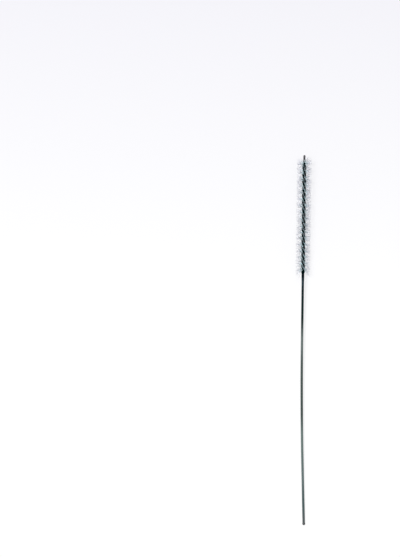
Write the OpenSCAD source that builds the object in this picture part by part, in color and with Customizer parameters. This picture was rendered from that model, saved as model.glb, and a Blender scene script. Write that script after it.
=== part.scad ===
// Interdental brush refill: one stainless wire folded in a hairpin at the tip.
// Its two legs are twisted round a layer of nylon bristles, which makes the head.
// Below the head they run side by side through a round jacket, which makes the stem.
// The brush lies on its head and its end bead, tip towards +Y, up towards +Z.

/* [Wire] */
// Diameter of the bare steel wire
steel_d = 0.14; // [0.11:0.01:0.17]
// Wall of the green coat on each twisted leg
coat_wall = 0.07; // [0.04:0.005:0.08]
// Length of one full left-hand turn of the twisted legs, on average
lay = 2.14; // [1.8:0.01:2.6]
// Share by which the twist is tighter above the stem and looser towards the tip
drift_share = 0.09; // [0:0.01:0.2]
// Run of twist that is bare, past the end of the coats
bare_twist_l = 0.3; // [0.24:0.02:0.6]
// Run over which the twist dies away below the fold
fade_l = 0.1; // [0.06:0.01:0.14]
// Gap inside the eye of the bare fold at the tip
fold_gap = 0.02; // [0.015:0.005:0.06]
// Length of the straight bare fold that stands past the twist
fold_l = 0.9; // [0.7:0.05:1.4]

/* [Stem] */
// Straight run at the lower end, the part that a handle grips
grip_l = 9.4; // [6:0.1:16]
// Run of the stem that is slightly bowed
bow_l = 20.3; // [16:0.1:28]
// Straight run between the bow and the head
neck_l = 10.6; // [6:0.1:16]
// Angle through which the bowed run turns
bow_angle = 1.96; // [0.5:0.01:6]
// Wall of the jacket outside each leg
jacket_wall = 0.0325; // [0.025:0.0025:0.06]
// Web of the jacket between its two bores
web = 0.015; // [0.01:0.005:0.04]

/* [Head] */
// Run over which the legs part and begin to twist
spread_l = 0.8; // [0.5:0.05:1.6]
// Run of full twist up to the end of the coats
head_l = 17.5; // [12:0.1:22]
// Thickness of the bristle layer that the legs pinch
pinch = 0.07; // [0.06:0.005:0.12]

/* [Bristles] */
// Diameter across the bristle tips
brush_d = 2.5; // [1.9:0.1:4]
// Thickness of one nylon filament
filament_d = 0.052; // [0.04:0.002:0.064]
// Filaments in each of the nine sections, two bristles each
section_filaments = 25; // [17:1:27]
// Angle by which the last bristles at the tip lean forward
tip_lean_angle = 6; // [0:1:60]
// Run over which that forward lean fades out
tip_fade_l = 2.2; // [1.5:0.1:4]
// Angle by which the first bristles lean back over the stem
base_lean_angle = 28; // [0:1:55]
// Run over which that backward lean fades out
base_fade_l = 2; // [1:0.1:3]

/* [Lower end] */
// How far the round bead that closes the cut ends stands out past the jacket
bead_lip = 0.035; // [0.01:0.005:0.1]

/* [Rest] */
// Angle by which the head points to the right of +Y
head_aim = 0.74; // [-2:0.01:2]

/* [Hidden] */

// Fits between pieces that meet along the wire
bore_fit = 0.003;
coat_fit = 0.004;
pinch_fit = 0.005;

// Counts that set how fine the swept pieces are
ring_sides = 6;
rings_a_turn = 12;
bow_steps = 8;
loop_steps = 6;
strand_sides = 3;
sections = 9;

// A ring of flat sides keeps the area of the round wire that it stands for
ring_share = sqrt(2 * PI / (ring_sides * sin(360 / ring_sides)));
steel_r = steel_d / 2 * ring_share;
coat_in_r = steel_r + coat_fit;
leg_d = steel_d + 2 * coat_wall;
coat_out_r = leg_d / 2 * ring_share;
flat_share = cos(180 / ring_sides);

// How far each leg's centre line stands off the axis in the stem, head, bare twist and fold
bore_r = steel_r + bore_fit;
stem_off = bore_r + web / 2;
head_off = leg_d / 2 + pinch / 2;
bare_off = steel_r + pinch / 2;
fold_off = steel_r + fold_gap / 2;
jacket_r = stem_off + bore_r + jacket_wall;

// The bead is a ball that is cut flat where it is as wide as the jacket
bead_r = jacket_r + bead_lip;
bead_l = bead_r + sqrt(pow(bead_r, 2) - pow(jacket_r, 2));

// Stations along the brush axis, counted from the lower end
bow_start = bead_l + grip_l;
bow_end = bow_start + bow_l;
neck_end = bow_end + neck_l;
even_start = neck_end + spread_l;
coat_end = even_start + head_l;
twist_end = coat_end + bare_twist_l;
brush_end = twist_end + fold_l;
fold_start = brush_end - fold_off - steel_r;
fade_start = twist_end - fade_l;
even_half = (fade_start - even_start) / 2;
bow_r = bow_l * 180 / (PI * bow_angle);

// The bristle layer starts where the parting legs first leave room for a filament
room_share = held((leg_d / 2 + filament_d / 2 + pinch_fit - stem_off) / (head_off - stem_off));
start_share = 0.5 - sin(asin(1 - 2 * room_share) / 3);
bristle_start = neck_end + start_share * spread_l + filament_d / 2;
bristle_end = twist_end - filament_d;
section_l = (bristle_end - bristle_start) / sections;
filament_pitch = section_l / section_filaments;

// How the brush rests: on its lowest head bristles and on the end bead
rest_tilt = asin((brush_d / 2 - bead_r) / (bristle_start - bead_r));
head_middle = (bristle_start + bristle_end) / 2;

// A soft step from 0 to 1
function held(u) = min(1, max(0, u));
function ease(u) = held(u) * held(u) * (3 - 2 * held(u));
// What a rate that follows the soft step adds up to
function eased_sum(u) = pow(held(u), 3) - pow(held(u), 4) / 2;
function unit(v) = v / norm(v);

// The brush axis in the head's own frame: straight up Z, bowed away below
function bow_turn(s) = min(bow_angle, max(0, (bow_end - s) / bow_r * 180 / PI));
function along(s) = [-sin(bow_turn(s)), 0, cos(bow_turn(s))];
function across(s) = [cos(bow_turn(s)), 0, sin(bow_turn(s))];
function bow_point(turn) = [bow_r * (1 - cos(turn)), 0, bow_end - bow_r * sin(turn)];
function axis_at(s) =
    s >= bow_end ? [0, 0, s]
    : s >= bow_start ? bow_point(bow_turn(s))
    : bow_point(bow_angle) + (s - bow_start) * along(s);

// Length that has been twisted below a station, and the angle that it gives
function twisted(s) =
    spread_l * eased_sum((s - neck_end) / spread_l)
    + max(0, min(s, fade_start) - even_start)
    + fade_l * fade_sum((s - fade_start) / fade_l)
    + drift_sum(min(max(s, even_start), fade_start) - even_start - even_half);
function fade_sum(u) = held(u) - eased_sum(u);
function drift_sum(aside) = drift_share * (pow(even_half, 2) - pow(aside, 2)) / (2 * even_half);
function leg_turn(s, side) = side - 360 * twisted(s) / lay;
step_in_share = 0.4;
close_share = 0.25;
function leg_off(s) =
    s <= coat_end ? stem_off + (head_off - stem_off) * ease((s - neck_end) / spread_l)
    : head_off
        + (bare_off - head_off) * ease((s - coat_end) / (step_in_share * bare_twist_l))
        + (fold_off - bare_off) * ease((s - twist_end) / (close_share * (fold_start - twist_end)));
function outward(s, turn) = cos(turn) * across(s) + sin(turn) * [0, 1, 0];
function leg_at(s, side) = axis_at(s) + leg_off(s) * outward(s, leg_turn(s, side));
probe_share = 0.001;
function leg_way(s, side) =
    unit(leg_at(s + lay * probe_share, side) - leg_at(s - lay * probe_share, side));

// A ring of points round a place, which turns with the direction of travel
function ring(place, way, out, r) =
    let (flank = unit(cross(way, out)), face = cross(flank, way))
    [for (i = [0 : ring_sides - 1])
        let (turn = 360 * (i + 1 / 2) / ring_sides)
        place + r * (cos(turn) * face + sin(turn) * flank)];
function leg_ring(s, side, travel, r) =
    ring(leg_at(s, side), travel * leg_way(s, side), outward(s, leg_turn(s, side)), r);
function loop_ring(turn, r) =
    let (out = outward(fold_start, leg_turn(fold_start, 0)), up = [0, 0, 1])
    ring(
        axis_at(fold_start) + fold_off * (cos(turn) * out + sin(turn) * up),
        cos(turn) * up - sin(turn) * out,
        cos(turn) * out + sin(turn) * up,
        r
    );

// Triangles that join rings into a skin, and those that close its two ends
function skin(first, rings, sides) = [
    for (k = [0 : rings - 2], i = [0 : sides - 1])
        let (a = first + k * sides + i, b = first + k * sides + (i + 1) % sides)
        each [[a, a + sides, b], [b, a + sides, b + sides]]
];
function start_cap(first, sides) = [for (i = [1 : sides - 2]) [first, first + i, first + i + 1]];
function turned_over(faces) = [for (f = faces) [f[0], f[2], f[1]]];
function end_cap(first, sides) = turned_over(start_cap(first, sides));
function rim(outer, inner, sides) = [
    for (i = [0 : sides - 1])
        let (j = (i + 1) % sides)
        each [[outer + i, outer + j, inner + j], [outer + i, inner + j, inner + i]]
];
function flat(lists) = [for (l = lists) each l];

// Stations of the rings: few in the stem, close together in the twist
function steps(from, to, count) = [for (k = [1 : count]) from + (to - from) * k / count];
twist_steps = ceil((coat_end - neck_end) / lay * rings_a_turn);
bare_steps = ceil(bare_twist_l / lay * rings_a_turn);
fold_steps = ceil((fold_start - twist_end) / lay * rings_a_turn);
coat_stations = concat([neck_end], steps(neck_end, coat_end, twist_steps));
wire_stations = concat(
    [bead_l, bow_start],
    steps(bow_start, bow_end, bow_steps),
    coat_stations,
    steps(coat_end, twist_end, bare_steps),
    steps(twist_end, fold_start, fold_steps)
);

// A place moved to in a coarse and a fine step, so that long radii lose no digits
coarse_share = 0.1;
module finely(place) {
    coarse = [for (x = place) round(x / coarse_share) * coarse_share];
    translate(coarse) translate(place - coarse) children();
}

// Puts a piece that is drawn in the head's frame where the brush lies
module at_rest() {
    rotate([rest_tilt, 0, 0])
        translate([0, -brush_end / 2, 0])
            translate([0, head_middle, 0])
                rotate([0, 0, -head_aim])
                    translate([0, -head_middle, 0])
                        rotate([-90, 0, 0])
                            children();
}
axis_z = bead_r + (brush_end / 2 - bead_r) * sin(rest_tilt);
module resting() {
    translate([0, 0, axis_z]) at_rest() children();
}

// One unbroken wire: up leg A, round the fold and down leg B
module wire_body() {
    last = len(wire_stations) - 1;
    rings = concat(
        [for (k = [0 : last]) leg_ring(wire_stations[k], 0, 1, steel_r)],
        [for (k = [1 : loop_steps - 1]) loop_ring(180 * k / loop_steps, steel_r)],
        [for (k = [last : -1 : 0]) leg_ring(wire_stations[k], 180, -1, steel_r)]
    );
    polyhedron(
        points = flat(rings),
        faces = concat(
            start_cap(0, ring_sides),
            skin(0, len(rings), ring_sides),
            end_cap((len(rings) - 1) * ring_sides, ring_sides)
        ),
        convexity = 20
    );
}

// The coat of one twisted leg, thinner at its root where the legs lie together
function coat_r(s) = min(coat_out_r, (leg_off(s) - coat_fit / 2) / flat_share);
module coat_body(side) {
    count = len(coat_stations);
    inner = count * ring_sides;
    outside = [for (s = coat_stations) leg_ring(s, side, 1, coat_r(s))];
    inside = [for (s = coat_stations) leg_ring(s, side, 1, coat_in_r)];
    polyhedron(
        points = flat(concat(outside, inside)),
        faces = concat(
            skin(0, count, ring_sides),
            turned_over(skin(inner, count, ring_sides)),
            rim(0, inner, ring_sides),
            turned_over(rim(inner - ring_sides, 2 * inner - ring_sides, ring_sides))
        ),
        convexity = 20
    );
}

// Section of the jacket: a round rod with a bore for each leg
module jacket_section() {
    difference() {
        circle(r = jacket_r, $fn = 64);
        for (side = [0, 180])
            rotate(side)
                translate([stem_off, 0])
                    circle(r = bore_r, $fn = 48);
    }
}
module jacket_body() {
    // Straight neck under the head
    finely([0, 0, bow_end])
        linear_extrude(height = neck_l)
            jacket_section();
    // Bowed run
    finely([bow_r, 0, bow_end])
        rotate([-90, 0, 180])
            rotate_extrude(angle = bow_angle, $fn = bow_steps * 360 / bow_angle)
                finely([bow_r, 0, 0])
                    jacket_section();
    // Straight grip at the lower end
    finely(bow_point(bow_angle))
        rotate([0, -bow_angle, 0])
            translate([0, 0, -grip_l])
                linear_extrude(height = grip_l)
                    jacket_section();
}

// The bead: a ball with its flat on the jacket's end
module bead_body() {
    finely(bow_point(bow_angle))
        rotate([0, -bow_angle, 0])
            translate([0, 0, -grip_l - bead_l])
                rotate_extrude($fn = 64)
                    intersection() {
                        translate([0, bead_r])
                            circle(r = bead_r, $fn = 64);
                        square([bead_r, bead_l]);
                    }
}

// The pinched layer, whose rings lie at the filaments, so that each leaves it by its edge
layer_share = 0.5;
layer_reach = layer_share * head_off;
function layer_half(s) = (s <= coat_end ? leg_off(s) - leg_d / 2 : pinch / 2) - pinch_fit;
function layer_turn(s) = leg_turn(s, 0) + 90;
function layer_ring(s) =
    let (u = outward(s, layer_turn(s)), v = outward(s, layer_turn(s) + 90))
    [for (p = [[-1, -1], [1, -1], [1, 1], [-1, 1]])
        axis_at(s) + p[0] * layer_reach * u + p[1] * layer_half(s) * v];
module layer_body(from) {
    stations = concat(
        [from],
        [for (i = [0 : section_filaments - 1]) filament_station(from, i)],
        [from + section_l]
    );
    count = len(stations);
    polyhedron(
        points = flat([for (s = stations) layer_ring(s)]),
        faces = concat(
            start_cap(0, 4),
            skin(0, count, 4),
            end_cap((count - 1) * 4, 4)
        ),
        convexity = 20
    );
}

// Slope of a filament: forward near the tip, back near the stem, square between
function bristle_slope(s) =
    tan(tip_lean_angle) * held(1 - (bristle_end - s) / tip_fade_l)
    - tan(base_lean_angle) * held(1 - (s - bristle_start) / base_fade_l);

// Station of a filament in the section that starts at a station
function filament_station(from, i) = from + (i + 1 / 2) * filament_pitch;

// One filament: a three-sided strand that crosses the layer and leans once it is past it
module filament_body(s) {
    u = outward(s, layer_turn(s));
    v = outward(s, layer_turn(s) + 90);
    bend = head_off - filament_d;
    rise = (brush_d / 2 - bend) * bristle_slope(s);
    places = [
        [-brush_d / 2, rise],
        [-bend, 0],
        [bend, 0],
        [brush_d / 2, rise]
    ];
    rings = [for (p = places)
        [for (i = [0 : strand_sides - 1])
            let (turn = 90 + 360 * i / strand_sides)
            axis_at(s) + p[0] * u + [0, 0, p[1]]
                + filament_d / 2 * (cos(turn) * v + sin(turn) * [0, 0, 1])]];
    polyhedron(
        points = flat(rings),
        faces = concat(
            start_cap(0, strand_sides),
            skin(0, len(rings), strand_sides),
            end_cap((len(rings) - 1) * strand_sides, strand_sides)
        ),
        convexity = 4
    );
}

// A section of the head: its slice of the layer with its filaments fused in
module bristle_section(number) {
    from = bristle_start + (number - 1) * section_l;
    color("white") resting() {
        union() {
            layer_body(from);
            for (i = [0 : section_filaments - 1])
                filament_body(filament_station(from, i));
        }
    }
}

module core_wire() {
    color("silver") resting() wire_body();
}
module coat_leg_a() {
    color("darkslategray") resting() coat_body(0);
}
module coat_leg_b() {
    color("darkslategray") resting() coat_body(180);
}
module stem_jacket() {
    color("darkslategray") resting() jacket_body();
}
module end_bead() {
    color("dimgray") resting() bead_body();
}

core_wire();
coat_leg_a();
coat_leg_b();
stem_jacket();
end_bead();
bristle_section(1);  // bristle_section_1
bristle_section(2);  // bristle_section_2
bristle_section(3);  // bristle_section_3
bristle_section(4);  // bristle_section_4
bristle_section(5);  // bristle_section_5
bristle_section(6);  // bristle_section_6
bristle_section(7);  // bristle_section_7
bristle_section(8);  // bristle_section_8
bristle_section(9);  // bristle_section_9
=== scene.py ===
"""Looks of the interdental brush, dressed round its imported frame.

The shapes are made in millimetres in the head's own frame, where the brush axis runs straight
up Z from the bow's end. One matrix then lays every mesh down in its place, in metres.
"""

import logging
import math
from dataclasses import dataclass
from enum import Enum

import bpy
from mathutils import Matrix, Vector


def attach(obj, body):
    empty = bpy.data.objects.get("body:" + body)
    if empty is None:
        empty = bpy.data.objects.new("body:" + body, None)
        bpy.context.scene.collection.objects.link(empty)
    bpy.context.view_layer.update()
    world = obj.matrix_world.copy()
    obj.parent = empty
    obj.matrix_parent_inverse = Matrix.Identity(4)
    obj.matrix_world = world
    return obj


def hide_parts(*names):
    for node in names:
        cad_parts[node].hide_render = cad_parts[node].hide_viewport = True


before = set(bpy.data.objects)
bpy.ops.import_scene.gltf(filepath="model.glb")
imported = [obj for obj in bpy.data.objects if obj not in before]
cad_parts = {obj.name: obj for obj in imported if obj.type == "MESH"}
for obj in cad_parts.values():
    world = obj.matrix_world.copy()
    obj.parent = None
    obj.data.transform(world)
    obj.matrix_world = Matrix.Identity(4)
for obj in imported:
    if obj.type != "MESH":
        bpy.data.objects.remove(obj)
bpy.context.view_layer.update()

log = logging.getLogger("interdental_brush")

MM = 0.001
Colour = tuple[float, float, float]
Span = tuple[float, float]
Stops = tuple[tuple[float, Colour], ...]


class Leg(Enum):
    """The two legs of the hairpin wire, each by the side of the axis that it keeps, in degrees."""

    A = 0.0
    B = 180.0


class Slot(Enum):
    """Material slots of the record."""

    BARE_STEEL = "bare_steel"
    DARK_STEEL = "dark_steel"
    GREEN_COAT = "green_coat"
    BRISTLE_NYLON = "bristle_nylon"


def held(share: float) -> float:
    """A share kept from 0 to 1."""
    return min(1.0, max(0.0, share))


def ease(share: float) -> float:
    """A soft step from 0 to 1."""
    share = held(share)
    return share * share * (3 - 2 * share)


def eased_sum(share: float) -> float:
    """What a rate that follows the soft step adds up to."""
    share = held(share)
    return share**3 - share**4 / 2


def rounded(share: float) -> float:
    """Height of a quarter round, as a share, at a share of the way in from its end."""
    return math.sqrt(max(0.0, 1 - (1 - held(share)) ** 2))


@dataclass(frozen=True)
class BrushLine:
    """Sizes of the brush in millimetres, and the line that its axis and wire legs follow.

    The names and values are those of the part's source. Stations are counted along the axis
    from the lower end.
    """

    steel_d: float = 0.14
    coat_wall: float = 0.07
    lay: float = 2.14
    drift_share: float = 0.09
    fade_l: float = 0.1
    fold_gap: float = 0.02
    fold_l: float = 0.9
    grip_l: float = 9.4
    bow_l: float = 20.3
    neck_l: float = 10.6
    bow_angle: float = 1.96
    jacket_wall: float = 0.0325
    web: float = 0.015
    spread_l: float = 0.8
    head_l: float = 17.5
    bare_twist_l: float = 0.3
    pinch: float = 0.07
    brush_d: float = 2.5
    filament_d: float = 0.052
    bead_lip: float = 0.035
    head_aim: float = 0.74
    bore_fit: float = 0.003
    pinch_fit: float = 0.005
    sections: int = 9
    step_in_share: float = 0.4
    close_share: float = 0.25

    @property
    def bore_r(self) -> float:
        """Radius of the jacket's bores, from the six-sided wire of the source."""
        return self.steel_d / 2 * math.sqrt(2 * math.pi / (6 * math.sin(math.pi / 3))) + self.bore_fit

    @property
    def leg_r(self) -> float:
        """Radius of a coated leg."""
        return self.steel_d / 2 + self.coat_wall

    @property
    def stem_off(self) -> float:
        """How far a leg's centre line stands off the axis in the stem."""
        return self.bore_r + self.web / 2

    @property
    def head_off(self) -> float:
        """How far a leg's centre line stands off the axis in the head."""
        return self.leg_r + self.pinch / 2

    @property
    def bare_off(self) -> float:
        """How far a bare leg's centre line stands off the axis past the coats' end."""
        return self.bore_r - self.bore_fit + self.pinch / 2

    @property
    def fold_off(self) -> float:
        """How far a leg's centre line stands off the axis in the fold."""
        return self.bore_r - self.bore_fit + self.fold_gap / 2

    @property
    def jacket_r(self) -> float:
        """Radius of the jacket."""
        return self.stem_off + self.bore_r + self.jacket_wall

    @property
    def bead_r(self) -> float:
        """Radius of the bead at the lower end."""
        return self.jacket_r + self.bead_lip

    @property
    def bead_l(self) -> float:
        """Length of the bead, up to the flat on the jacket's end."""
        return self.bead_r + math.sqrt(self.bead_r**2 - self.jacket_r**2)

    @property
    def bow_start(self) -> float:
        """Station where the grip ends and the bow starts."""
        return self.bead_l + self.grip_l

    @property
    def bow_end(self) -> float:
        """Station where the bow ends."""
        return self.bow_start + self.bow_l

    @property
    def neck_end(self) -> float:
        """Station of the jacket's upper end."""
        return self.bow_end + self.neck_l

    @property
    def even_start(self) -> float:
        """Station where the twist is in full."""
        return self.neck_end + self.spread_l

    @property
    def coat_end(self) -> float:
        """Station where the coats end."""
        return self.even_start + self.head_l

    @property
    def twist_end(self) -> float:
        """Station where the twist ends."""
        return self.coat_end + self.bare_twist_l

    @property
    def brush_end(self) -> float:
        """Station of the tip."""
        return self.twist_end + self.fold_l

    @property
    def fold_start(self) -> float:
        """Station where the round of the fold starts."""
        return self.brush_end - self.fold_off - self.steel_d / 2

    @property
    def bow_r(self) -> float:
        """Radius of the bow."""
        return self.bow_l / math.radians(self.bow_angle)

    @property
    def bristle_start(self) -> float:
        """Station where the bristles start.

        Returns:
            The station from which the spread legs leave room for a filament.
        """
        room = (self.leg_r + self.filament_d / 2 + self.pinch_fit - self.stem_off) / (
            self.head_off - self.stem_off
        )
        share = 0.5 - math.sin(math.asin(1 - 2 * room) / 3)
        return self.neck_end + share * self.spread_l + self.filament_d / 2

    @property
    def bristle_end(self) -> float:
        """Station of the upper end of the bristles."""
        return self.twist_end - self.filament_d

    def bow_turn(self, station: float) -> float:
        """Angle by which the axis has bowed away at a station, in radians."""
        return min(math.radians(self.bow_angle), max(0.0, (self.bow_end - station) / self.bow_r))

    def along(self, station: float) -> Vector:
        """Direction of the axis at a station."""
        turn = self.bow_turn(station)
        return Vector((-math.sin(turn), 0, math.cos(turn)))

    def axis_at(self, station: float) -> Vector:
        """Place of the axis at a station.

        Args:
            station: Where along the axis.

        Returns:
            The place in the head's frame.
        """
        if station >= self.bow_end:
            return Vector((0, 0, station))
        turn = self.bow_turn(station)
        place = Vector((self.bow_r * (1 - math.cos(turn)), 0, self.bow_end - self.bow_r * math.sin(turn)))
        if station < self.bow_start:
            place += (station - self.bow_start) * self.along(station)
        return place

    def twisted(self, station: float) -> float:
        """Length that has been twisted below a station: the twist drifts, and ends below the fold.

        Args:
            station: Where along the axis.

        Returns:
            The length, each part of it by its share of the full twist.
        """
        fade_start = self.twist_end - self.fade_l
        fade = held((station - fade_start) / self.fade_l)
        half = (fade_start - self.even_start) / 2
        aside = min(max(station, self.even_start), fade_start) - self.even_start - half
        return (
            self.spread_l * eased_sum((station - self.neck_end) / self.spread_l)
            + max(0.0, min(station, fade_start) - self.even_start)
            + self.fade_l * (fade - eased_sum(fade))
            + self.drift_share * (half**2 - aside**2) / (2 * half)
        )

    def leg_turn(self, station: float, leg: Leg) -> float:
        """Angle of a leg round the axis at a station, in radians."""
        return math.radians(leg.value - 360 * self.twisted(station) / self.lay)

    def leg_off(self, station: float) -> float:
        """How far a leg's centre line stands off the axis.

        Args:
            station: Where along the axis.

        Returns:
            The distance from the axis.
        """
        if station <= self.coat_end:
            share = ease((station - self.neck_end) / self.spread_l)
            return self.stem_off + (self.head_off - self.stem_off) * share
        step_in = ease((station - self.coat_end) / (self.step_in_share * self.bare_twist_l))
        close = ease((station - self.twist_end) / (self.close_share * (self.fold_start - self.twist_end)))
        off = self.head_off + (self.bare_off - self.head_off) * step_in
        return off + (self.fold_off - self.bare_off) * close

    def outward(self, station: float, turn: float) -> Vector:
        """Direction away from the axis.

        Args:
            station: Where along the axis.
            turn: Angle round the axis, in radians.

        Returns:
            The direction, of length 1.
        """
        bow = self.bow_turn(station)
        across = Vector((math.cos(bow), 0, math.sin(bow)))
        return math.cos(turn) * across + math.sin(turn) * Vector((0, 1, 0))

    def leg_at(self, station: float, leg: Leg) -> Vector:
        """Place of a leg's centre line at a station."""
        out = self.outward(station, self.leg_turn(station, leg))
        return self.axis_at(station) + self.leg_off(station) * out

    def rest(self) -> Matrix:
        """Matrix from the head's frame in millimetres to where the brush lies, in metres.

        Returns:
            The matrix that every finished mesh is transformed with.
        """
        half = self.brush_end / 2
        middle = (self.bristle_start + self.bristle_end) / 2
        tilt = math.asin((self.brush_d / 2 - self.bead_r) / (self.bristle_start - self.bead_r))
        height = self.bead_r + (half - self.bead_r) * math.sin(tilt)
        return (
            Matrix.Scale(MM, 4)
            @ Matrix.Translation((0, 0, height))
            @ Matrix.Rotation(tilt, 4, "X")
            @ Matrix.Translation((0, middle - half, 0))
            @ Matrix.Rotation(math.radians(-self.head_aim), 4, "Z")
            @ Matrix.Translation((0, -middle, 0))
            @ Matrix.Rotation(math.radians(-90), 4, "X")
        )


def spaced(start: float, end: float, step: float) -> list[float]:
    """Even stations from start to end.

    Args:
        start: First station.
        end: Last station.
        step: Longest step between two of them.

    Returns:
        The stations, both ends among them.
    """
    count = max(1, math.ceil((end - start) / step))
    return [start + (end - start) * k / count for k in range(count + 1)]


def line_mesh(name: str, places: list[Vector], values: dict[str, list[float]]) -> bpy.types.Mesh:
    """Makes a chain of edges that a tree sweeps or fills.

    Args:
        name: Name of the mesh.
        places: Points of the chain, in order.
        values: Numbers to keep on the points, by attribute name.

    Returns:
        The mesh of the chain.
    """
    mesh = bpy.data.meshes.new(name)
    mesh.from_pydata([tuple(p) for p in places], [(k, k + 1) for k in range(len(places) - 1)], [])
    for key, numbers in values.items():
        mesh.attributes.new(key, "FLOAT", "POINT").data.foreach_set("value", numbers)
    return mesh


class NodeWork:
    """A node tree that is put together call by call."""

    def __init__(self, group: bpy.types.NodeTree) -> None:
        """Starts with the tree that the nodes go into."""
        self.group = group

    def feed(self, node: bpy.types.Node, links: dict[str | int, object]) -> None:
        """Fills inputs of a node.

        Args:
            node: The node.
            links: What goes into its inputs, a socket or a value, by name or number.
        """
        for key, value in links.items():
            if isinstance(value, bpy.types.NodeSocket):
                self.group.links.new(value, node.inputs[key])
            else:
                node.inputs[key].default_value = value

    def put(self, kind: str, links: dict[str | int, object], **settings: object) -> bpy.types.Node:
        """Adds a node.

        Args:
            kind: The node's type.
            links: What goes into its inputs, a socket or a value, by name or number.
            settings: The node's own options.

        Returns:
            The node.
        """
        node = self.group.nodes.new(kind)
        for key, value in settings.items():
            setattr(node, key, value)
        self.feed(node, links)
        return node

    def math(self, operation: str, *terms: object) -> bpy.types.NodeSocket:
        """One sum on numbers or fields."""
        links = dict(enumerate(terms))
        return self.put("ShaderNodeMath", links, operation=operation).outputs[0]


class Draw(Enum):
    """What a filament's random numbers are for, each by what it adds to the seed."""

    TRIM = 1
    STATION = 2
    SPLAY = 3
    STRAY = 4
    RISING_CURL = 5
    SIDE_CURL = 6
    LAYER = 7
    TONE = 8
    MORE_SPLAY = 9


class Tree(NodeWork):
    """A Geometry Nodes tree that makes a shape from a line."""

    def __init__(self, name: str, inputs: dict[str, str]) -> None:
        """Starts the tree.

        Args:
            name: Name of the tree.
            inputs: Kind of each named input after the geometry, such as Float or Int.
        """
        super().__init__(bpy.data.node_groups.new(name, "GeometryNodeTree"))
        face = self.group.interface
        face.new_socket("Line", in_out="INPUT", socket_type="NodeSocketGeometry")
        for key, kind in inputs.items():
            face.new_socket(key, in_out="INPUT", socket_type="NodeSocket" + kind)
        face.new_socket("Shape", in_out="OUTPUT", socket_type="NodeSocketGeometry")
        self.inputs = self.group.nodes.new("NodeGroupInput").outputs

    def whole(self, operation: str, *terms: object) -> bpy.types.NodeSocket:
        """One sum on whole numbers."""
        links = dict(enumerate(terms))
        return self.put("FunctionNodeIntegerMath", links, operation=operation).outputs[0]

    def scaled(self, direction: object, length: object) -> bpy.types.NodeSocket:
        """A direction times a length."""
        node = self.put("ShaderNodeVectorMath", {0: direction, "Scale": length}, operation="SCALE")
        return node.outputs[0]

    def added(self, *ways: object) -> bpy.types.NodeSocket:
        """Adds up several places or ways.

        Args:
            ways: The vectors, at least two.

        Returns:
            Their sum as a socket.
        """
        total = ways[0]
        for way in ways[1:]:
            total = self.put("ShaderNodeVectorMath", {0: total, 1: way}, operation="ADD").outputs[0]
        return total

    def way(self, x: object, y: object, z: object) -> bpy.types.NodeSocket:
        """A vector from its three parts."""
        return self.put("ShaderNodeCombineXYZ", {"X": x, "Y": y, "Z": z}).outputs[0]

    def chance(self, low: float, high: float, key: object, draw: Draw) -> bpy.types.NodeSocket:
        """An even random number.

        Args:
            low: Lowest value.
            high: Highest value.
            key: Whole number that names the thing that the number belongs to.
            draw: What the number is for.

        Returns:
            The random number as a socket.
        """
        seed = self.whole("ADD", self.inputs["Seed"], draw.value)
        links = {2: low, 3: high, "ID": key, "Seed": seed}
        return self.put("FunctionNodeRandomValue", links, data_type="FLOAT").outputs[1]

    def named(self, key: str, kind: str = "FLOAT") -> bpy.types.NodeSocket:
        """A number or vector kept on the points."""
        return self.put("GeometryNodeInputNamedAttribute", {"Name": key}, data_type=kind).outputs[0]

    def keep(self, shape: object, key: str, value: object, kind: str = "FLOAT") -> bpy.types.NodeSocket:
        """Stores a value on the points of a shape and gives the shape."""
        links = {"Geometry": shape, "Name": key, "Value": value}
        return self.put("GeometryNodeStoreNamedAttribute", links, data_type=kind, domain="POINT").outputs[0]

    def sweep(self, curves: object) -> None:
        """Sweeps a round section along curves and ends the tree with its material.

        The section's size is the attribute girth. The attribute grain says where a point lies
        on the skin: the direction on the section, and the length along the curve.

        Args:
            curves: The curves to follow.
        """
        spline = self.put("GeometryNodeSplineParameter", {})
        curves = self.keep(curves, "run", spline.outputs["Length"])
        links = {"Resolution": self.inputs["Sides"], "Radius": 1.0}
        ring = self.put("GeometryNodeCurvePrimitiveCircle", links)
        place = self.put("GeometryNodeInputPosition", {})
        section = self.keep(ring.outputs[0], "side", place.outputs[0], "FLOAT_VECTOR")
        links = {"Curve": curves, "Profile Curve": section, "Scale": self.named("girth"), "Fill Caps": True}
        skin = self.put("GeometryNodeCurveToMesh", links).outputs[0]
        along = self.way(0.0, 0.0, self.named("run"))
        grain = self.added(self.named("side", "FLOAT_VECTOR"), along)
        skin = self.keep(skin, "grain", grain, "FLOAT_VECTOR")
        smooth = self.put("GeometryNodeSetShadeSmooth", {"Geometry": skin, "Shade Smooth": True})
        real = self.put("GeometryNodeRealizeInstances", {"Geometry": smooth.outputs[0]})
        links = {"Geometry": real.outputs[0], "Material": self.inputs["Material"]}
        done = self.put("GeometryNodeSetMaterial", links)
        self.group.links.new(done.outputs[0], self.group.nodes.new("NodeGroupOutput").inputs[0])


def rod_tree() -> bpy.types.NodeTree:
    """Tree that sweeps a round rod along a line, as thick as the line's points say.

    Returns:
        The tree, with the inputs Sides and Material.
    """
    tree = Tree("swept_rod", {"Sides": "Int", "Material": "Material"})
    tree.sweep(tree.put("GeometryNodeMeshToCurve", {"Mesh": tree.inputs["Line"]}).outputs[0])
    return tree.group


# Share of the reach by the share along a bristle, with close points at the kink and the cut end
BRISTLE_POINTS = ((1 / 11, 0.05), (3 / 11, 0.145), (5 / 11, 0.36), (7 / 11, 0.66), (9 / 11, 0.985))
# How far a filament may lie from its even station, as a share of the pitch
STATION_CHANCE = 0.45
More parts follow.
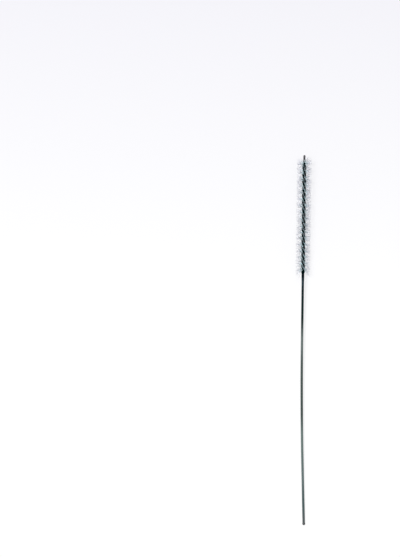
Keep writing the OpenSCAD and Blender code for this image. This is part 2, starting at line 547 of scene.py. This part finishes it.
# Share along a bristle past which it counts as the cut end, and by how much that is thinner
CUT_FROM = 0.99
CUT_TAPER = 0.4
BRISTLE_INPUTS = {
    "First filament": "Int",
    "Filaments": "Int",
    "Points": "Int",
    "Sides": "Int",
    "Start": "Float",
    "Pitch": "Float",
    "Run": "Float",
    "Reach": "Float",
    "Trim": "Float",
    "Filament radius": "Float",
    "Kink": "Float",
    "Layer": "Float",
    "Tip slope": "Float",
    "Tip fade": "Float",
    "Base slope": "Float",
    "Base fade": "Float",
    "Splay": "Float",
    "Stray": "Float",
    "Curl": "Float",
    "Seed": "Int",
    "Material": "Material",
}


def bristle_tree() -> bpy.types.NodeTree:
    """Tree that fills the twisted legs with filaments, each of them two bristles.

    The line is the axis of the head, and its attribute turn is the angle of the bristle layer.

    Returns:
        The tree, with the inputs that BRISTLE_INPUTS names.
    """
    tree = Tree("pinched_filaments", BRISTLE_INPUTS)
    given = tree.inputs
    index = tree.put("GeometryNodeInputIndex", {}).outputs[0]
    strand = tree.whole("DIVIDE_FLOOR", index, given["Points"])
    step = tree.whole("MODULO", index, given["Points"])
    number = tree.whole("ADD", strand, given["First filament"])

    # Share along the filament from -1 to 1, and which of its two bristles a point is on
    last = tree.whole("SUBTRACT", given["Points"], 1)
    share = tree.math("SUBTRACT", tree.math("MULTIPLY", tree.math("DIVIDE", step, last), 2.0), 1.0)
    side = tree.math("SIGN", share)
    bristle = tree.whole("ADD", tree.whole("MULTIPLY", number, 2), tree.math("GREATER_THAN", share, 0.0))

    # Distance from the axis, from the points above and the filament's own trim
    spread = tree.put("ShaderNodeFloatCurve", {"Value": tree.math("ABSOLUTE", share)})
    line = spread.mapping.curves[0]
    for place, value in BRISTLE_POINTS:
        line.points.new(place, value)
    for point in line.points:
        point.handle_type = "VECTOR"
    spread.mapping.update()
    far = spread.outputs[0]
    trim = tree.chance(0.0, 1.0, bristle, Draw.TRIM)
    reach = tree.math("SUBTRACT", given["Reach"], tree.math("MULTIPLY", trim, given["Trim"]))
    off = tree.math("MULTIPLY", far, reach)

    # Station of the filament, and the place and angle of the layer there
    shift = tree.chance(-STATION_CHANCE, STATION_CHANCE, number, Draw.STATION)
    count = tree.math("ADD", tree.math("ADD", number, 0.5), shift)
    up = tree.math("MULTIPLY", count, given["Pitch"])
    axis = tree.put("GeometryNodeMeshToCurve", {"Mesh": given["Line"]}).outputs[0]
    links = {"Curves": axis, 1: tree.named("turn"), "Length": tree.math("ADD", up, given["Start"])}
    sample = tree.put("GeometryNodeSampleCurve", links, data_type="FLOAT", mode="LENGTH")
    turn = sample.outputs["Value"]
    way_u = tree.way(tree.math("COSINE", turn), tree.math("SINE", turn), 0.0)
    way_v = tree.way(tree.math("MULTIPLY", tree.math("SINE", turn), -1.0), tree.math("COSINE", turn), 0.0)

    # Past the kink, where the coats let it go, a bristle splays out of the layer
    swings = [tree.chance(-0.5, 0.5, bristle, draw) for draw in (Draw.SPLAY, Draw.MORE_SPLAY)]
    swing = tree.math("ADD", *swings)
    fan = tree.math("ADD", turn, tree.math("MULTIPLY", swing, given["Splay"]))
    way_out = tree.way(tree.math("COSINE", fan), tree.math("SINE", fan), 0.0)
    free = tree.math("MAXIMUM", tree.math("SUBTRACT", off, given["Kink"]), 0.0)
    pinched = tree.math("SUBTRACT", off, free)

    # Lean: forward at the tip, back over the stem, and a little of chance between
    def edge_slope(rest: object, fade: object, slope: object) -> bpy.types.NodeSocket:
        """Slope that fades away evenly from one end of the head."""
        near = tree.math("SUBTRACT", 1.0, tree.math("DIVIDE", rest, fade))
        return tree.math("MULTIPLY", tree.math("MAXIMUM", near, 0.0), slope)

    to_tip = tree.math("SUBTRACT", given["Run"], up)
    forward = edge_slope(to_tip, given["Tip fade"], given["Tip slope"])
    backward = edge_slope(up, given["Base fade"], given["Base slope"])
    loose = tree.math("MULTIPLY", tree.chance(-1.0, 1.0, bristle, Draw.STRAY), given["Stray"])
    slope = tree.math("ADD", tree.math("SUBTRACT", forward, backward), loose)
    rise = tree.math("MULTIPLY", free, slope)

    # A slight curl of its own in both directions
    bend = tree.math("MULTIPLY", tree.math("MULTIPLY", free, free), given["Curl"])
    curls = [tree.chance(-1.0, 1.0, bristle, draw) for draw in (Draw.RISING_CURL, Draw.SIDE_CURL)]
    rise = tree.math("ADD", rise, tree.math("MULTIPLY", bend, curls[0]))
    aside = tree.math("MULTIPLY", bend, curls[1])
    level = tree.math("MULTIPLY", given["Layer"], tree.chance(-1.0, 1.0, number, Draw.LAYER))
    aside = tree.math("ADD", aside, level)

    place = tree.added(
        sample.outputs["Position"],
        tree.scaled(way_u, tree.math("MULTIPLY", pinched, side)),
        tree.scaled(way_out, tree.math("MULTIPLY", free, side)),
        tree.scaled(way_v, aside),
        tree.way(0.0, 0.0, rise),
    )
    total = tree.whole("MULTIPLY", given["Filaments"], given["Points"])
    points = tree.put("GeometryNodePoints", {"Count": total, "Position": place}).outputs[0]
    cut = tree.math("GREATER_THAN", tree.math("ABSOLUTE", share), CUT_FROM)
    girth = tree.math("SUBTRACT", 1.0, tree.math("MULTIPLY", cut, CUT_TAPER))
    points = tree.keep(points, "girth", tree.math("MULTIPLY", girth, given["Filament radius"]))
    points = tree.keep(points, "tone", tree.chance(0.0, 1.0, bristle, Draw.TONE))
    points = tree.keep(points, "far", far)
    links = {"Points": points, "Curve Group ID": strand, "Weight": share}
    tree.sweep(tree.put("GeometryNodePointsToCurves", links).outputs[0])
    return tree.group


def grown(name: str, mesh: bpy.types.Mesh, tree: bpy.types.NodeTree, values: dict[str, object],
          rest: Matrix) -> bpy.types.Object:
    """Runs a tree on a line and keeps the result as a plain mesh in its place.

    Args:
        name: Name of the piece.
        mesh: The line that the tree works on.
        tree: The Geometry Nodes tree.
        values: Value of each named input.
        rest: Matrix from the head's frame to where the brush lies.

    Returns:
        The piece, at the origin and with no modifier.
    """
    piece = bpy.data.objects.new(name, mesh)
    bpy.context.scene.collection.objects.link(piece)
    modifier = piece.modifiers.new(tree.name, "NODES")
    modifier.node_group = tree
    for item in tree.interface.items_tree:
        if item.in_out == "INPUT" and item.name in values:
            modifier[item.identifier] = values[item.name]
    graph = bpy.context.evaluated_depsgraph_get()
    shape = bpy.data.meshes.new_from_object(piece.evaluated_get(graph))
    piece.modifiers.remove(modifier)
    shape.name = name
    shape.transform(rest)
    piece.data = shape
    log.info("%s: %d faces", name, len(shape.polygons))
    return piece


class Paint(NodeWork):
    """A material that is put together call by call."""

    def __init__(self, name: str) -> None:
        """Starts the material with its plain shader.

        Args:
            name: Name of the material.
        """
        self.made = bpy.data.materials.new(name)
        self.made.use_nodes = True
        super().__init__(self.made.node_tree)
        self.shader = self.group.nodes["Principled BSDF"]

    def carried(self, key: str, output: str = "Fac") -> bpy.types.NodeSocket:
        """A number or vector that the mesh carries."""
        return self.put("ShaderNodeAttribute", {}, attribute_name=key).outputs[output]

    def cloudy(self, place: object, scale: float, detail: float) -> bpy.types.NodeSocket:
        """A cloudy pattern of chance."""
        links = {"Vector": place, "Scale": scale, "Detail": detail}
        return self.put("ShaderNodeTexNoise", links).outputs["Fac"]

    def grained(self, scale: tuple[float, float, float], detail: float) -> bpy.types.NodeSocket:
        """A cloudy pattern that is drawn out along the skin's own grain."""
        lie = self.put("ShaderNodeMapping", {"Vector": self.carried("grain", "Vector"), "Scale": scale})
        return self.cloudy(lie.outputs["Vector"], 1.0, detail)

    def ranged(self, value: object, given: Span, wanted: Span) -> bpy.types.NodeSocket:
        """Maps a number from one span to another.

        Args:
            value: The number.
            given: Ends of the span that it comes from.
            wanted: What the ends become.

        Returns:
            The mapped number as a socket.
        """
        links = {"Value": value, "From Min": given[0], "From Max": given[1],
                 "To Min": wanted[0], "To Max": wanted[1]}
        return self.put("ShaderNodeMapRange", links).outputs["Result"]

    def toned(self, share: object, stops: Stops, change: str = "LINEAR") -> bpy.types.NodeSocket:
        """A colour that follows a number through a few stops.

        Args:
            share: The number.
            stops: Place and colour of each stop, the two outer ones first.
            change: How the colour goes from stop to stop.

        Returns:
            The colour as a socket.
        """
        node = self.put("ShaderNodeValToRGB", {"Fac": share})
        node.color_ramp.interpolation = change
        ramp = node.color_ramp.elements
        for k, (place, colour) in enumerate(stops):
            stop = ramp[k] if k < 2 else ramp.new(place)
            stop.position = place
            stop.color = (*colour, 1)
        return node.outputs["Color"]

    def mixed(self, kind: str, share: object, first: object, second: object) -> bpy.types.NodeSocket:
        """Mixes two colours, of which the second lies over the first.

        Args:
            kind: How they are mixed, such as MIX or MULTIPLY.
            share: How much of the second is taken.
            first: Colour below.
            second: Colour above.

        Returns:
            The mixed colour as a socket.
        """
        links = {"Factor": share, 6: first, 7: second}
        return self.put("ShaderNodeMix", links, data_type="RGBA", blend_type=kind).outputs[2]


@dataclass(frozen=True)
class Finish:
    """A surface with a fine grain: two tones, two roughnesses and a shallow relief.

    The grain lies in the skin's own grain attribute, so that it runs along a wire and turns
    with its twist. A second, cloudy pattern in Object coordinates varies it along the brush.
    """

    name: str
    light: Colour
    dark: Colour
    sleek: float
    rough: float
    metal: float = 0.0
    index: float = 1.5
    grain: tuple[float, float, float] = (2.0, 2.0, 0.5)
    grain_detail: float = 4.0
    grain_share: float = 0.6
    cloud: float = 900.0
    cloud_detail: float = 3.0
    ends: Span = (0.3, 0.7)
    relief: float = 2e-6
    strength: float = 0.3
    gleam: float = 0.5
    gleam_tint: Colour = (1.0, 1.0, 1.0)
    # Stops along the skin's length: the surface's own colour together with painted highlights and painted
    # shade
    tone_and_painted_light: Stops = ()
    tone_and_painted_light_l: float = 1.0

    def material(self) -> bpy.types.Material:
        """Builds the material.

        Returns:
            The material, all of its patterns procedural.
        """
        paint = Paint(self.name)
        fibre = paint.grained(self.grain, self.grain_detail)
        place = paint.put("ShaderNodeTexCoord", {}).outputs["Object"]
        cloud = paint.cloudy(place, self.cloud, self.cloud_detail)
        part = paint.math("MULTIPLY", cloud, 1 - self.grain_share)
        both = paint.math("MULTIPLY_ADD", fibre, self.grain_share, part)
        colour = paint.toned(both, tuple(zip(self.ends, (self.dark, self.light))))
        # Painted highlights and shade: the stops lighten and darken the colour band by band along the length
        if self.tone_and_painted_light:
            skin = paint.put("ShaderNodeSeparateXYZ", {0: paint.carried("grain", "Vector")})
            share = paint.math("DIVIDE", skin.outputs["Z"], self.tone_and_painted_light_l)
            colour = paint.mixed("MULTIPLY", 1.0, paint.toned(share, self.tone_and_painted_light, "EASE"), colour)
        links = {"Strength": self.strength, "Distance": self.relief, "Height": both}
        paint.feed(paint.shader, {
            "Base Color": colour,
            "Metallic": self.metal,
            "Roughness": paint.ranged(cloud, self.ends, (self.sleek, self.rough)),
            "IOR": self.index,
            "Normal": paint.put("ShaderNodeBump", links).outputs["Normal"],
            "Specular IOR Level": self.gleam,
            "Specular Tint": (*self.gleam_tint, 1),
        })
        return paint.made


GREEN_COAT = Finish("green_coat", light=(0.0005, 0.010, 0.0105), dark=(0.0001, 0.0025, 0.0027), sleek=0.22,
                    rough=0.38, grain=(1.5, 1.5, 2.5), cloud=1400.0, gleam=0.02, gleam_tint=(0.35, 1.0, 0.95))
GREEN_JACKET = Finish("green_jacket", light=(1.15, 1.15, 1.15), dark=(0.8, 0.82, 0.82), sleek=0.25, rough=0.4,
                      grain=(1.5, 1.5, 1.0), cloud=700.0, gleam=0.03, gleam_tint=(0.85, 1.0, 0.97),
                      # The jacket's dark green, with painted shade near the neck under the head and painted
                      # highlights as lighter bands on the grip and bow
                      tone_and_painted_light_l=40.3, tone_and_painted_light=(
                          (0.0, (0.083, 0.095, 0.095)),
                          (1.0, (0.0, 0.004, 0.006)),
                          (0.07, (0.062, 0.092, 0.092)),
                          (0.19, (0.114, 0.149, 0.146)),
                          (0.35, (0.130, 0.170, 0.158)),
                          (0.45, (0.056, 0.073, 0.067)),
                          (0.62, (0.062, 0.080, 0.073)),
                          (0.73, (0.135, 0.162, 0.155)),
                          (0.83, (0.008, 0.019, 0.017)),
                          (0.94, (0.006, 0.015, 0.016)),
                          (0.972, (0.020, 0.037, 0.046)),
                      ))
BARE_STEEL = Finish("bare_steel", light=(0.030, 0.028, 0.033), dark=(0.012, 0.011, 0.013), sleek=0.25,
                    rough=0.42, metal=1.0, index=2.5, grain=(4.0, 4.0, 0.6), cloud=2500.0)
DARK_STEEL = Finish("dark_steel", light=(0.13, 0.132, 0.135), dark=(0.055, 0.057, 0.06), sleek=0.3,
                    rough=0.5, metal=1.0, index=2.5, grain=(1.5, 1.5, 6.0), cloud=3500.0, relief=8e-6)


@dataclass(frozen=True)
class ClearNylon:
    """Drawn nylon filament: clear, but milky where it is pinched, each bristle a tone of its own."""

    name: str = "bristle_nylon"
    light: Colour = (0.94, 0.95, 0.97)
    dark: Colour = (0.66, 0.70, 0.73)
    tone_ends: Span = (0.2, 0.8)
    near_tint: Colour = (0.80, 1.0, 1.01)
    far_tint: Colour = (1.0, 0.985, 1.03)
    tint_ends: Span = (0.2, 0.7)
    milky: float = 0.3
    clear: float = 0.9
    clear_ends: Span = (0.15, 0.3)
    sleek: float = 0.18
    rough: float = 0.35
    index: float = 1.53
    grain: tuple[float, float, float] = (1.2, 1.2, 2.0)
    grain_detail: float = 2.0
    grain_share: float = 0.45

    def material(self) -> bpy.types.Material:
        """Builds the material.

        Returns:
            The material, which reads the tone that each bristle carries.
        """
        paint = Paint(self.name)
        far = paint.carried("far")
        haze = paint.grained(self.grain, self.grain_detail)
        links = {"Factor": self.grain_share, "A": paint.carried("tone"), "B": haze}
        both = paint.put("ShaderNodeMix", links, data_type="FLOAT").outputs["Result"]
        tone = paint.toned(both, tuple(zip(self.tone_ends, (self.dark, self.light))))
        tint = paint.toned(far, tuple(zip(self.tint_ends, (self.near_tint, self.far_tint))))
        paint.feed(paint.shader, {
            "Base Color": paint.mixed("MULTIPLY", 1.0, tint, tone),
            "Roughness": paint.ranged(haze, (0.0, 1.0), (self.sleek, self.rough)),
            "IOR": self.index,
            "Transmission Weight": paint.ranged(far, self.clear_ends, (self.milky, self.clear)),
        })
        return paint.made


@dataclass
class CoreWire:
    """The one bare wire, folded in a hairpin at the tip."""

    line: BrushLine
    sides: int = 14
    step: float = 0.09
    stem_step: float = 0.8
    fold_steps: int = 12
    press: float = 0.011
    press_l: float = 0.2

    def radius(self, station: float) -> float:
        """Radius of the wire, which the bending has pressed a little wider at the fold."""
        line = self.line
        return line.steel_d / 2 + self.press * ease((station - line.twist_end) / self.press_l)

    def build(self, tree: bpy.types.NodeTree, metal: bpy.types.Material, rest: Matrix) -> bpy.types.Object:
        """Builds the wire.

        Args:
            tree: Tree that sweeps a rod.
            metal: Finish of the wire.
            rest: Matrix from the head's frame to where the brush lies.

        Returns:
            The piece.
        """
        line = self.line
        stem = spaced(line.bead_l, line.neck_end, self.stem_step)
        stations = stem + spaced(line.neck_end, line.fold_start, self.step)[1:]
        places = [line.leg_at(s, Leg.A) for s in stations]
        out = line.outward(line.fold_start, line.leg_turn(line.fold_start, Leg.A))
        top = line.axis_at(line.fold_start)
        for k in range(1, self.fold_steps):
            turn = math.pi * k / self.fold_steps
            places.append(top + line.fold_off * (math.cos(turn) * out + math.sin(turn) * Vector((0, 0, 1))))
        places += [line.leg_at(s, Leg.B) for s in reversed(stations)]
        girth = [self.radius(s) for s in stations]
        girth += [self.radius(line.fold_start)] * (self.fold_steps - 1) + girth[::-1]
        mesh = line_mesh("core_wire_line", places, {"girth": girth})
        return grown("core_wire_round", mesh, tree, {"Sides": self.sides, "Material": metal}, rest)

    def dress(self, piece: bpy.types.Object) -> None:
        """Puts the wire on its body in place of the plain one.

        Args:
            piece: The wire.
        """
        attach(piece, "root")
        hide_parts("core_wire")


@dataclass
class Coats:
    """The green coats of the two twisted legs."""

    line: BrushLine
    sides: int = 20
    step: float = 0.075
    melt: float = 0.0015
    swell: float = 0.012
    round_l: float = 0.09
    round_step: float = 0.012
    blunt: float = 0.02

    def radius(self, station: float) -> float:
        """Outer radius of a coat: melted to its twin at its root, and rounded at its upper end.

        Args:
            station: Where along the axis.

        Returns:
            The radius, a hair more than the wire's at the upper end.
        """
        line = self.line
        full = min(line.leg_r + self.swell, line.leg_off(station) + self.melt)
        share = rounded((line.coat_end - station) / self.round_l)
        inner = line.steel_d / 2
        return inner + (full - inner) * (share * (1 - self.blunt) + self.blunt)

    def build(self, leg: Leg, tree: bpy.types.NodeTree, coat: bpy.types.Material,
              rest: Matrix) -> bpy.types.Object:
        """Builds the coat of one leg.

        Args:
            leg: Which leg.
            tree: Tree that sweeps a rod.
            coat: Finish of the coat.
            rest: Matrix from the head's frame to where the brush lies.

        Returns:
            The piece.
        """
        line = self.line
        top = line.coat_end - self.round_l
        stations = spaced(line.neck_end, top, self.step) + spaced(top, line.coat_end, self.round_step)[1:]
        places = [line.leg_at(s, leg) for s in stations]
        mesh = line_mesh("coat_line", places, {"girth": [self.radius(s) for s in stations]})
        name = f"coat_leg_{leg.name.lower()}_round"
        return grown(name, mesh, tree, {"Sides": self.sides, "Material": coat}, rest)

    def dress(self, piece: bpy.types.Object, leg: Leg) -> None:
        """Puts a coat on its body in place of the plain one.

        Args:
            piece: The coat.
            leg: Which leg it is on.
        """
        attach(piece, "root")
        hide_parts(f"coat_leg_{leg.name.lower()}")


@dataclass
class Stem:
    """The round jacket over both legs, and the bead that closes it."""

    line: BrushLine
    sides: int = 36
    step: float = 0.5
    shoulder_l: float = 0.06
    shoulder_step: float = 0.008
    collar: float = 0.03
    collar_l: float = 0.2
    flare_l: float = 1.6
    flare_step: float = 0.15
    bead_rings: int = 16
    pole_r: float = 0.004

    def jacket_radius(self, station: float) -> float:
        """Radius of the jacket, which flares to a rounded collar round the legs' root.

        Args:
            station: Where along the axis.

        Returns:
            The radius.
        """
        line = self.line
        drop = self.shoulder_l * (1 - rounded((line.neck_end + self.collar_l - station) / self.shoulder_l))
        flare = ease((station - line.neck_end + self.flare_l) / (self.flare_l + self.collar_l))
        return line.jacket_r + self.collar * flare - drop

    def build_jacket(self, tree: bpy.types.NodeTree, coat: bpy.types.Material,
                     rest: Matrix) -> bpy.types.Object:
        """Builds the jacket.

        Args:
            tree: Tree that sweeps a rod.
            coat: Finish of the jacket.
            rest: Matrix from the head's frame to where the brush lies.

        Returns:
            The piece.
        """
        line = self.line
        top = line.neck_end + self.collar_l
        shoulder = top - self.shoulder_l
        flare = line.neck_end - self.flare_l
        stations = spaced(line.bead_l, flare, self.step) + spaced(flare, shoulder, self.flare_step)[1:]
        stations += spaced(shoulder, top, self.shoulder_step)[1:]
        places = [line.axis_at(s) for s in stations]
        mesh = line_mesh("jacket_line", places, {"girth": [self.jacket_radius(s) for s in stations]})
        return grown("stem_jacket_round", mesh, tree, {"Sides": self.sides, "Material": coat}, rest)

    def build_bead(self, tree: bpy.types.NodeTree, metal: bpy.types.Material,
                   rest: Matrix) -> bpy.types.Object:
        """Builds the bead.

        Args:
            tree: Tree that sweeps a rod.
            metal: Finish of the bead.
            rest: Matrix from the head's frame to where the brush lies.

        Returns:
            The piece.
        """
        line = self.line
        top = math.acos((line.bead_l - line.bead_r) / line.bead_r)
        turns = [math.pi - (math.pi - top) * k / self.bead_rings for k in range(self.bead_rings + 1)]
        places = [line.axis_at(line.bead_r + line.bead_r * math.cos(t)) for t in turns]
        girth = [max(line.bead_r * math.sin(t), self.pole_r) for t in turns]
        mesh = line_mesh("bead_line", places, {"girth": girth})
        return grown("end_bead_round", mesh, tree, {"Sides": self.sides, "Material": metal}, rest)

    def dress(self, jacket: bpy.types.Object, bead: bpy.types.Object) -> None:
        """Puts both pieces on their body in place of the plain ones.

        Args:
            jacket: The jacket.
            bead: The bead.
        """
        pairs = ((jacket, "stem_jacket", Slot.GREEN_COAT), (bead, "end_bead", Slot.DARK_STEEL))
        for piece, node, slot in pairs:
            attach(piece, "root")
            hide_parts(node)


@dataclass
class Bristles:
    """The nylon filaments that the twisted legs pinch, each of them two bristles."""

    line: BrushLine
    filaments: int = 88
    filament_r: float = 0.0145
    points: int = 12
    sides: int = 5
    tip_lean: float = 13.0
    tip_fade: float = 2.2
    base_lean: float = 34.0
    base_fade: float = 2.0
    splay: float = 40.0
    stray: float = 0.6
    curl: float = 0.1
    trim: float = 0.05
    seed: int = 11
    axis_step: float = 0.05

    def axis_line(self) -> bpy.types.Mesh:
        """Makes the axis of the head.

        Returns:
            The line, which carries the angle of the bristle layer.
        """
        line = self.line
        stations = spaced(line.neck_end, line.twist_end, self.axis_step)
        turns = [line.leg_turn(s, Leg.A) + math.pi / 2 for s in stations]
        return line_mesh("head_axis", [line.axis_at(s) for s in stations], {"turn": turns})

    def build(self, number: int, tree: bpy.types.NodeTree, nylon: bpy.types.Material,
              rest: Matrix) -> bpy.types.Object:
        """Builds the bristles of one section.

        Args:
            number: The section, counted from the stem.
            tree: Tree that makes the filaments.
            nylon: Finish of the filaments.
            rest: Matrix from the head's frame to where the brush lies.

        Returns:
            The piece.
        """
        line = self.line
        run = line.bristle_end - line.bristle_start
        values = {
            "First filament": (number - 1) * self.filaments,
            "Filaments": self.filaments,
            "Points": self.points,
            "Sides": self.sides,
            "Start": line.bristle_start - line.neck_end,
            "Pitch": run / (line.sections * self.filaments),
            "Run": run,
            "Reach": line.brush_d / 2 - self.filament_r,
            "Trim": self.trim,
            "Filament radius": self.filament_r,
            "Kink": line.head_off,
            "Layer": line.pinch / 2 - line.filament_d / 2,
            "Tip slope": math.tan(math.radians(self.tip_lean)),
            "Tip fade": self.tip_fade,
            "Base slope": math.tan(math.radians(self.base_lean)),
            "Base fade": self.base_fade,
            "Splay": math.radians(self.splay),
            "Stray": self.stray,
            "Curl": self.curl,
            "Seed": self.seed,
            "Material": nylon,
        }
        return grown(f"bristles_{number}", self.axis_line(), tree, values, rest)

    def dress(self, piece: bpy.types.Object, number: int) -> None:
        """Puts a section's bristles on their body in place of the plain ones.

        Args:
            piece: The bristles.
            number: The section, counted from the stem.
        """
        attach(piece, "root")
        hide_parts(f"bristle_section_{number}")


@dataclass(frozen=True)
class Lamp:
    """A soft square lamp that faces the brush: its place and side in metres, its power in watts."""

    name: str
    place: tuple[float, float, float]
    size: float
    power: float

    def hang(self) -> None:
        """Hangs the lamp in the scene."""
        data = bpy.data.lights.new(self.name, "AREA")
        data.size = self.size
        data.energy = self.power
        made = bpy.data.objects.new(self.name, data)
        made.location = self.place
        made.rotation_euler = (-Vector(self.place)).to_track_quat("-Z", "Y").to_euler()
        bpy.context.scene.collection.objects.link(made)


LAMPS = (
    Lamp("left_softbox", (-0.22, 0.11, 0.56), 0.16, 2.4),
    Lamp("right_fill", (0.45, -0.15, 0.45), 0.40, 0.15),
    Lamp("top_softbox", (0.0, 0.35, 0.55), 0.35, 0.9),
)


@dataclass
class Studio:
    """Plain pale floor, soft light from the left and the camera of the photograph."""

    span: float = 90.6 * MM
    centre: tuple[float, float] = (-16.84 * MM, 10.04 * MM)
    height: float = 1.0
    sensor: float = 24.0
    floor_size: float = 3.0
    floor_tone: Colour = (0.9, 0.9, 0.91)
    top_shade: Colour = (0.845, 0.837, 0.890)
    low_shade: Colour = (1.0, 1.0, 1.0)
    shade_ends: Span = (2 * MM, 55 * MM)
    glow: float = 0.78
    room_tone: Colour = (0.96, 0.97, 1.0)
    room_light: float = 0.5

    def camera(self) -> None:
        """Looks straight down, with the brush's length up the picture."""
        data = bpy.data.cameras.new("camera")
        data.sensor_fit = "VERTICAL"
        data.sensor_height = self.sensor
        data.lens = self.sensor * self.height / self.span
        made = bpy.data.objects.new("camera", data)
        made.location = (*self.centre, self.height)
        bpy.context.scene.collection.objects.link(made)
        bpy.context.scene.camera = made

    def floor_material(self) -> bpy.types.Material:
        """Builds the floor's material: pale, and near white where the camera sees it.

        Returns:
            The material, which keeps a faint shadow of the brush.
        """
        paint = Paint("pale_floor")
        paint.group.nodes.remove(paint.shader)
        place = paint.put("ShaderNodeTexCoord", {}).outputs["Object"]
        split = paint.put("ShaderNodeSeparateXYZ", {0: place})
        # Painted shade: the white that the camera sees fades to a greyer, bluer tone towards the top of the
        # picture
        fade = paint.ranged(split.outputs["Y"], self.shade_ends, (0.0, 1.0))
        shade = paint.mixed("MIX", fade, (*self.low_shade, 1), (*self.top_shade, 1))
        white = paint.put("ShaderNodeEmission", {"Color": shade})
        matte = paint.put("ShaderNodeBsdfDiffuse", {"Color": (*self.floor_tone, 1)})
        ray = paint.put("ShaderNodeLightPath", {}).outputs
        seen = paint.math("MAXIMUM", ray["Is Camera Ray"], ray["Is Glossy Ray"])
        seen = paint.math("MAXIMUM", seen, ray["Is Transmission Ray"])
        share = paint.math("MULTIPLY", seen, self.glow)
        blend = paint.put("ShaderNodeMixShader", {"Fac": share, 1: matte.outputs[0], 2: white.outputs[0]})
        paint.feed(paint.group.nodes["Material Output"], {"Surface": blend.outputs[0]})
        return paint.made

    def floor(self) -> None:
        """Lays the plain floor that the brush lies on."""
        half = self.floor_size / 2
        corners = [(-half, -half, 0), (half, -half, 0), (half, half, 0), (-half, half, 0)]
        mesh = bpy.data.meshes.new("floor")
        mesh.from_pydata(corners, [], [(0, 1, 2, 3)])
        mesh.materials.append(self.floor_material())
        made = bpy.data.objects.new("floor", mesh)
        bpy.context.scene.collection.objects.link(made)

    def light(self) -> None:
        """Lights the brush softly, most of it from the left."""
        for lamp in LAMPS:
            lamp.hang()
        world = bpy.data.worlds.new("pale_room")
        world.use_nodes = True
        room = world.node_tree.nodes["Background"]
        room.inputs["Color"].default_value = (*self.room_tone, 1)
        room.inputs["Strength"].default_value = self.room_light
        bpy.context.scene.world = world

    def build(self) -> None:
        """Sets up the view, the floor and the light."""
        bpy.context.scene.view_settings.view_transform = "Standard"
        self.camera()
        self.floor()
        self.light()


def main() -> None:
    """Builds the brush from its wire outwards, then the studio round it."""
    logging.basicConfig(level=logging.INFO, format="%(message)s")
    line = BrushLine()
    rest = line.rest()
    rod = rod_tree()
    filaments = bristle_tree()
    green = GREEN_COAT.material()
    jacket = GREEN_JACKET.material()
    steel = BARE_STEEL.material()
    dark = DARK_STEEL.material()
    nylon = ClearNylon().material()

    Studio().build()

    wire = CoreWire(line)
    wire.dress(wire.build(rod, steel, rest))
    coats = Coats(line)
    for leg in Leg:
        coats.dress(coats.build(leg, rod, green, rest), leg)
    stem = Stem(line)
    stem.dress(stem.build_jacket(rod, jacket, rest), stem.build_bead(rod, dark, rest))
    bristles = Bristles(line)
    for number in range(1, line.sections + 1):
        bristles.dress(bristles.build(number, filaments, nylon, rest), number)


if __name__ == "__main__":
    main()
